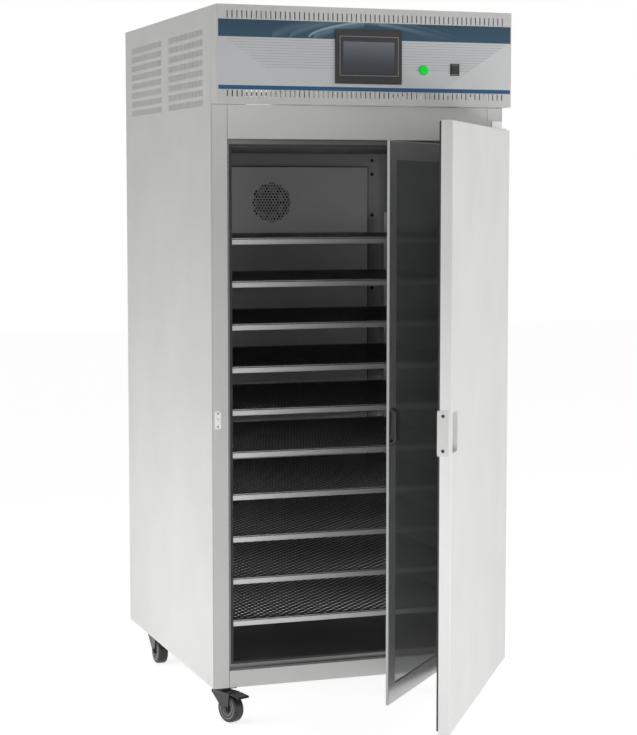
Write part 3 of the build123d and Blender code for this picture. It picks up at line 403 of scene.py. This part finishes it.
def grid_sheet(us, vs, is_solid, thick, put):
    """A sheet on a grid of cut lines, with the cells that aren't solid left open."""
    bm = bmesh.new()
    cache = {}

    def vert(i, j, k):
        if (i, j, k) not in cache:
            cache[i, j, k] = bm.verts.new(put(us[i], vs[j], k * thick))
        return cache[i, j, k]

    rows, cols = len(vs) - 1, len(us) - 1
    solid = [[is_solid(i, j) for j in range(rows)] for i in range(cols)]
    for i in range(cols):
        for j in range(rows):
            if not solid[i][j]:
                continue
            for k in (0, 1):
                bm.faces.new([vert(i, j, k), vert(i + 1, j, k), vert(i + 1, j + 1, k),
                              vert(i, j + 1, k)])
            for ni, nj, a, b in ((i - 1, j, (i, j), (i, j + 1)),
                                 (i + 1, j, (i + 1, j), (i + 1, j + 1)),
                                 (i, j - 1, (i, j), (i + 1, j)),
                                 (i, j + 1, (i, j + 1), (i + 1, j + 1))):
                if not (0 <= ni < cols and 0 <= nj < rows and solid[ni][nj]):
                    bm.faces.new([vert(*a, 0), vert(*b, 0), vert(*b, 1), vert(*a, 1)])
    return bm


def vented_side(side, sign):
    """A side panel with two fields of fine upright vent slots, folded at its top and back."""
    fields = (FRONT + 0.076, FRONT + 0.495)
    columns, column_pitch, slot_width = 26, 0.0132, 0.0055
    rows, row_pitch, slot_height, slots_top = 8, 0.026, 0.0163, 1.8157
    foot, inset, fold_width, ease = 0.092, 0.0008, 0.016, 0.0004
    us, open_u = [FRONT + inset], set()
    for first in fields:
        for column in range(columns):
            low = first + column * column_pitch
            open_u.add(len(us))
            us += [low, low + slot_width]
    us.append(BACK - inset)
    vs, open_v = [foot], set()
    for row in reversed(range(rows)):
        high = slots_top - row * row_pitch
        open_v.add(len(vs))
        vs += [high - slot_height, high]
    vs.append(TOP)
    x = RIGHT if sign > 0 else LEFT
    bm = grid_sheet(us, vs, lambda i, j: not (i in open_u and j in open_v), SHEET,
                    lambda u, v, w: (x - sign * w, u, v))
    low_x, high_x = sorted((x, x - sign * fold_width))
    add_block(bm, (low_x, FRONT + PAST_SHEET, TOP - SHEET), (high_x, BACK - 0.001, TOP), ease)
    add_block(bm, (low_x, BACK - inset - SHEET, foot + 0.0005),
              (high_x, BACK - inset, TOP - 0.001), ease)
    piece(f"{side}_side_panel_vented", bm, M["body"], "cabinet",
          (f"{side}_side_panel",))


vented_side("left", -1)
vented_side("right", 1)


def perforated(us, vs, holes, radius, collar, thick, put):
    """A sheet whose marked cells each have an eight-sided hole with a low collar and bare walls."""
    bm = bmesh.new()
    spokes = [(math.cos(math.radians(22.5 + 45 * n)), math.sin(math.radians(22.5 + 45 * n)))
              for n in range(8)]
    corner = {}

    def vert(i, j, k):
        if (i, j, k) not in corner:
            corner[i, j, k] = bm.verts.new(put(us[i], vs[j], k * thick))
        return corner[i, j, k]

    cols, rows = len(us) - 1, len(vs) - 1
    for i in range(cols):
        for j in range(rows):
            if not holes(i, j):
                for k in (0, 1):
                    bm.faces.new([vert(i, j, k), vert(i + 1, j, k), vert(i + 1, j + 1, k),
                                  vert(i, j + 1, k)])
                continue
            cu, cv = (us[i] + us[i + 1]) / 2, (vs[j] + vs[j + 1]) / 2
            rings = []
            for reach, w in ((radius + collar, 0.0), (radius, -collar), (radius, thick)):
                rings.append([bm.verts.new(put(cu + reach * c, cv + reach * s, w))
                              for c, s in spokes])
            for k, ring in ((0, rings[0]), (1, rings[2])):
                pp, np_, nn, pn = (vert(i + 1, j + 1, k), vert(i, j + 1, k), vert(i, j, k),
                                   vert(i + 1, j, k))
                bm.faces.new([ring[7], ring[0], pp, pn])
                bm.faces.new([ring[0], ring[1], pp])
                bm.faces.new([ring[1], ring[2], np_, pp])
                bm.faces.new([ring[2], ring[3], np_])
                bm.faces.new([ring[3], ring[4], nn, np_])
                bm.faces.new([ring[4], ring[5], nn])
                bm.faces.new([ring[5], ring[6], pn, nn])
                bm.faces.new([ring[6], ring[7], pn])
            for n in range(8):
                m = (n + 1) % 8
                bm.faces.new([rings[0][n], rings[0][m], rings[1][m], rings[1][n]])
                wall = bm.faces.new([rings[1][n], rings[1][m], rings[2][m], rings[2][n]])
                wall.material_index = 1
    rim = [((i, j), (i + 1, j)) for j in (0, rows) for i in range(cols)]
    rim += [((i, j), (i, j + 1)) for i in (0, cols) for j in range(rows)]
    for (i, j), (a, b) in rim:
        bm.faces.new([vert(i, j, 0), vert(a, b, 0), vert(a, b, 1), vert(i, j, 1)])
    return bm


def cut_lines(low, high, margin, pitch):
    """The edges of a row of square cells between two sides, and how many cells there are."""
    count = int((high - low - 2 * margin) / pitch)
    edge = (high - low - count * pitch) / 2
    return [low] + [low + edge + i * pitch for i in range(count + 1)] + [high], count


def perforated_shelves():
    """Ten shelves from one mesh: a punched sheet with folded edges, the front one deeper."""
    low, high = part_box("shelf_01")
    margin, pitch = 0.012, 0.0135
    hole, collar, wall = 0.0060, 0.0012, 0.0030
    side_fold, front_fold, front_sheet, ease = 0.010, 0.009, 0.0013, 0.0004
    xs, across = cut_lines(low.x, high.x, margin, pitch)
    ys, along = cut_lines(low.y, high.y, margin, pitch)
    bm = perforated(xs, ys, lambda i, j: 0 < i <= across and 0 < j <= along and (i + j) % 2 == 0,
                    hole, collar, -wall, lambda u, v, w: (u, v, high.z - collar + w))
    sheet_faces = len(bm.faces)
    add_block(bm, low, (high.x, low.y + SHEET, high.z), 0.0005)
    add_block(bm, low, (high.x, low.y + front_fold, low.z + front_sheet), ease)
    add_block(bm, (low.x, high.y - SHEET, high.z - side_fold), high, ease)
    for x in (low.x, high.x - SHEET):
        add_block(bm, (x, low.y, high.z - side_fold), (x + SHEET, high.y - 0.001, high.z), ease)
    bm.faces.ensure_lookup_table()
    for face in bm.faces[sheet_faces:]:
        face.material_index = 2
    # the sheet's steel is painted shade, the hole walls carry a painted highlight, the folded edges
    # are plain steel
    looks = [M["shelf"], M["punched"], M["lip"]]
    first = piece("shelf_01_perforated", bm, looks, "cabinet", ("shelf_01",))
    for index in range(2, 11):
        node = f"shelf_{index:02d}"
        piece(f"{node}_perforated", first.data, looks, "cabinet", (node,),
              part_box(node)[1].z - high.z)


perforated_shelves()


def duct_tray():
    """The duct cover: a folded tray with a close pattern of round holes before the fan."""
    low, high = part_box("duct_cover")
    pitch, hole, reach, corners = 0.0096, 0.0035, 0.0590, 10
    ease, row_rise = 0.0003, 0.866
    outline = [(low.x, low.z), (high.x, low.z), (high.x, high.z), (low.x, high.z)]
    loops = [[Vector((u, v, 0)) for u, v in outline]]
    for row in range(-7, 8):
        v = row * pitch * row_rise
        for column in range(-8, 9):
            u = (column + (0.5 if row % 2 else 0.0)) * pitch
            if math.hypot(u, v) <= reach:
                turns = [2 * math.pi * n / corners for n in range(corners)]
                loops.append([Vector((u + hole * math.cos(a), GRILLE_Z + v + hole * math.sin(a), 0))
                              for a in turns])
    flat = [point for loop in loops for point in loop]
    bm = bmesh.new()
    sides = [[bm.verts.new((point.x, y, point.y)) for point in flat]
             for y in (low.y, low.y + SHEET)]
    for triangle in tessellate_polygon(loops):
        for side in sides:
            bm.faces.new([side[i] for i in triangle])
    first = 0
    for loop in loops:
        for n in range(len(loop)):
            a, b = first + n, first + (n + 1) % len(loop)
            bm.faces.new([sides[0][a], sides[0][b], sides[1][b], sides[1][a]])
        first += len(loop)
    for x in (low.x, high.x - SHEET):
        add_block(bm, (x, low.y + PAST_SHEET, low.z), (x + SHEET, high.y, high.z), ease)
    for z in (low.z, high.z - SHEET):
        add_block(bm, (low.x + PAST_SHEET, low.y + PAST_SHEET, z),
                  (high.x - PAST_SHEET, high.y, z + SHEET), ease)
    piece("duct_cover_grille", bm, M["duct"], "cabinet", ("duct_cover",))


def duct_seal():
    """Dark strips in the gap round the duct cover, at both sides and the top."""
    low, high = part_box("duct_cover")
    near, far = 0.0002, 0.0030
    front, back = low.y + 0.001, low.y + 0.004
    bm = bmesh.new()
    add_block(bm, (high.x + near, front, low.z), (high.x + far, back, high.z))
    add_block(bm, (low.x - far, front, low.z), (low.x - near, back, high.z))
    add_block(bm, (low.x - far, front, high.z + near), (high.x + far, back, high.z + far))
    piece("duct_cover_edge_seal", bm, M["rubber"], "cabinet")


def fan_shroud_painted_shade():
    """A short dark tube round the fan, behind the grille: partly a real shroud, partly painted
    shade that darkens the view through the grille holes.
    """
    fan_low, fan_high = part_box("circulation_fan")
    inner, length = (fan_high.x - fan_low.x) / 2 + 0.003, 0.036
    outer = inner + SHEET
    start_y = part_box("duct_cover")[0].y + 0.0025
    turn = (Matrix.Translation((0, start_y, GRILLE_Z))
            @ Matrix.Rotation(math.radians(90), 4, "X"))
    bm = bmesh.new()
    add_lathe(bm, [(inner, 0.0), (outer, 0.0), (outer, -length), (inner, -length)], 48, turn)
    piece("fan_shroud_painted_shade", bm, M["fan"], "cabinet")


def slot_painted_light():
    """Pale cards behind some of the lower header slots: painted light, standing for the light that
    shows through these slots.
    """
    half_width, foot, head = 0.0045, 1.640, 1.651
    front, back = HEADER_FRONT + 0.0035, HEADER_FRONT + 0.0043
    bm = bmesh.new()
    for x in (-0.3467, -0.2423, -0.2288, -0.2164, -0.2034, -0.1512, -0.1376, -0.1250, -0.1129,
              -0.0607, -0.0496, -0.0358, 0.0170):
        add_block(bm, (x - half_width, front, foot), (x + half_width, back, head))
    piece("header_slot_painted_light", bm, M["painted_light_card"], "cabinet")


def rear_strip():
    """An upright slotted strip at the rear, beside the shelves."""
    foot, head, bridge, pitch = 0.300, 1.335, 0.0150, 0.0225
    left, y, thick = 0.3425, 0.2520, 0.0012
    zs = [foot]
    while zs[-1] + pitch < head - 0.005:
        zs += [zs[-1] + bridge, zs[-1] + pitch]
    zs.append(head)
    bm = grid_sheet([0.0, 0.0130, 0.0170, 0.0190], zs, lambda i, j: i != 1 or j % 2 == 0, thick,
                    lambda u, v, w: (left + u, y + w, v))
    piece("rear_wall_strip", bm, M["rail"], "cabinet")


duct_tray()
duct_seal()
fan_shroud_painted_shade()
slot_painted_light()
rear_strip()


def caster_wheel(place):
    """A wheel as a turned tread, a hub, and two moulded rings on each side."""
    joint = next(j for j in frame["joints"] if j["name"] == f"roll_{place}")
    centre, axis = Vector(joint["pos_m"]), Vector(joint["axis"]).normalized()
    turn = Matrix.Translation(centre) @ axis.to_track_quat("Z", "Y").to_matrix().to_4x4()
    body = f"wheel_{place}"
    tread = [(0.0272, 0.0146), (0.0305, 0.0150), (0.0335, 0.0146), (0.0358, 0.0132),
             (0.0371, 0.0105), (0.0375, 0.0070)]
    hub = [(0.00405, 0.0158), (0.0085, 0.0160), (0.0093, 0.0154), (0.0099, 0.0136),
           (0.0162, 0.0128), (0.0170, 0.0132), (0.0252, 0.0130), (0.0260, 0.0138),
           (0.0271, 0.0144)]
    for suffix, half in (("tread", tread), ("hub", hub)):
        bm = bmesh.new()
        add_lathe(bm, half + [(r, -h) for r, h in reversed(half)], 72, turn)
        piece(f"{body}_{suffix}", bm, M[suffix], body, (body,))
    bm = bmesh.new()
    wide, foot, ease = 0.0013, 0.0120, 0.0005
    for side in (-1, 1):
        for middle, rise in ((0.0263, 0.0150), (0.0180, 0.0144)):
            ring = [(middle - wide, side * foot), (middle - wide, side * (rise - ease)),
                    (middle - wide / 2, side * rise), (middle + wide / 2, side * rise),
                    (middle + wide, side * (rise - ease)), (middle + wide, side * foot)]
            add_lathe(bm, ring, 72, turn)
    piece(f"{body}_rings", bm, M["ring"], body, (body,))


for place in CASTERS:
    caster_wheel(place)


def add_screw(bm, centre, normal, radius, height):
    """A pan head with a small dimple."""
    turn = Matrix.Translation(centre) @ Vector(normal).to_track_quat("Z", "Y").to_matrix().to_4x4()
    middle, foot = 0.00001, -0.0004
    add_lathe(bm, [(middle, height * 0.75), (radius * 0.22, height * 0.78),
                   (radius * 0.28, height), (radius * 0.62, height * 0.9),
                   (radius * 0.92, height * 0.55), (radius, height * 0.12),
                   (radius, foot), (middle, foot)], 20, turn)


def latch_screws():
    """Two screws in the latch plate, on the free edge of the open outer door."""
    angle = math.radians(56.0)
    pin_x, pin_y = RIGHT - 0.0055, FRONT - 0.020
    along, across, middle_z, half_gap = -0.807, 0.003, 0.834, 0.041
    x = pin_x + along * math.cos(angle) - across * math.sin(angle)
    y = pin_y + along * math.sin(angle) + across * math.cos(angle)
    outward = (-math.cos(angle), -math.sin(angle), 0)
    bm = bmesh.new()
    for z in (middle_z - half_gap, middle_z + half_gap):
        add_screw(bm, (x, y, z), outward, 0.0042, 0.0018)
    piece("latch_plate_screws", bm, M["darkscrew"], "outer_door")


def keeper_screws():
    middle_z, half_gap = 0.804, 0.017
    bm = bmesh.new()
    for z in (middle_z - half_gap, middle_z + half_gap):
        add_screw(bm, (LEFT + 0.015, FRONT - 0.002, z), (0, -1, 0), 0.0032, 0.0014)
    piece("keeper_screws", bm, M["screw"], "cabinet")


def back_wall_screws():
    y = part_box("duct_cover")[1].y
    bm = bmesh.new()
    for x in (0.3396, -0.3396):
        for z in (1.492, 1.450, 1.325, 1.10, 0.875, 0.65, 0.425, 0.25):
            add_screw(bm, (x, y, z), (0, -1, 0), 0.0052, 0.0022)
    piece("back_wall_screws", bm, M["darkscrew"], "cabinet")


latch_screws()
keeper_screws()
back_wall_screws()


# ---------------------------------------------------------------- stage, lights and camera
def seen_rays(tree):
    """1 for what the camera sees, directly, mirrored or through glass."""
    path = add(tree, "LightPath")
    return calc(tree, "MAXIMUM", path.outputs["Is Camera Ray"],
                calc(tree, "MAXIMUM", path.outputs["Is Glossy Ray"],
                     path.outputs["Is Transmission Ray"]))


def floor_material():
    """A pale diffuse floor with a glow for seen rays only, so that it keeps its shadow."""
    material, tree = start("floor_pale")
    place = add(tree, "TexCoord").outputs["Object"]
    seen = seen_rays(tree)
    color = mix(tree, noise(tree, place, 3.0), (0.90, 0.90, 0.90, 1), (0.92, 0.92, 0.92, 1))
    diffuse = add(tree, "BsdfDiffuse", {"Color": color})
    glow = add(tree, "Emission", {"Color": (1, 1, 1, 1),
                                  "Strength": calc(tree, "MULTIPLY", seen, 0.72)})
    both = add(tree, "AddShader", {0: diffuse.outputs[0], 1: glow.outputs[0]})
    shown(tree, both.outputs[0])
    return material


def studio_floor():
    bm = bmesh.new()
    bmesh.ops.create_grid(bm, x_segments=8, y_segments=8, size=14.0)
    data = bpy.data.meshes.new("studio_floor")
    bm.to_mesh(data)
    bm.free()
    data.materials.append(floor_material())
    floor = bpy.data.objects.new("studio_floor", data)
    scene.collection.objects.link(floor)


def studio_world():
    """A white room: full white where it is seen, dimmer as a light."""
    world = bpy.data.worlds.new("studio_world")
    scene.world = world
    world.use_nodes = True
    tree = world.node_tree
    tree.nodes.clear()
    level = add(tree, "MapRange", {"Value": seen_rays(tree), "To Min": 0.29, "To Max": 1.0})
    shine = add(tree, "Background", {"Color": (1, 1, 1, 1),
                                     "Strength": level.outputs["Result"]})
    out = tree.nodes.new("ShaderNodeOutputWorld")
    tree.links.new(shine.outputs[0], out.inputs["Surface"])


def soft_box(name, place, target, width, height, power):
    lamp = bpy.data.lights.new(name, "AREA")
    lamp.shape, lamp.size, lamp.size_y, lamp.energy = "RECTANGLE", width, height, power
    made = bpy.data.objects.new(name, lamp)
    made.location = place
    aim = Vector(target) - Vector(place)
    made.rotation_euler = aim.to_track_quat("-Z", "Y").to_euler()
    scene.collection.objects.link(made)


studio_floor()
studio_world()
soft_box("low_left", (-1.75, 0.0, 0.22), (-0.60, 0.0, 0.05), 1.5, 0.36, 10.0)
soft_box("low_front", (-0.9, -2.6, 0.30), (-0.25, -1.0, 0.05), 1.6, 0.36, 14.0)
soft_box("low_right", (1.9, -2.3, 0.25), (0.2, -0.8, 0.20), 1.4, 0.36, 11.0)
soft_box("high_right", (3.4, -2.6, 1.5), (0.3, -0.7, 1.0), 1.6, 1.6, 24.0)

# the photograph's camera: focal length and picture height in pixels, then place and aim
FOCAL_PIXELS, PICTURE_PIXELS, SENSOR = 1955.0, 735.0, 36.0
camera_data = bpy.data.cameras.new("photo_camera")
camera_data.sensor_width = SENSOR
camera_data.lens = SENSOR * FOCAL_PIXELS / PICTURE_PIXELS
camera = bpy.data.objects.new("photo_camera", camera_data)
camera.location = (-1.8166, -5.3105, 1.3924)
camera.rotation_euler = (math.radians(90 - 5.1), 0.0, math.radians(-19.3))
scene.collection.objects.link(camera)
scene.camera = camera

scene.view_settings.view_transform = "Standard"
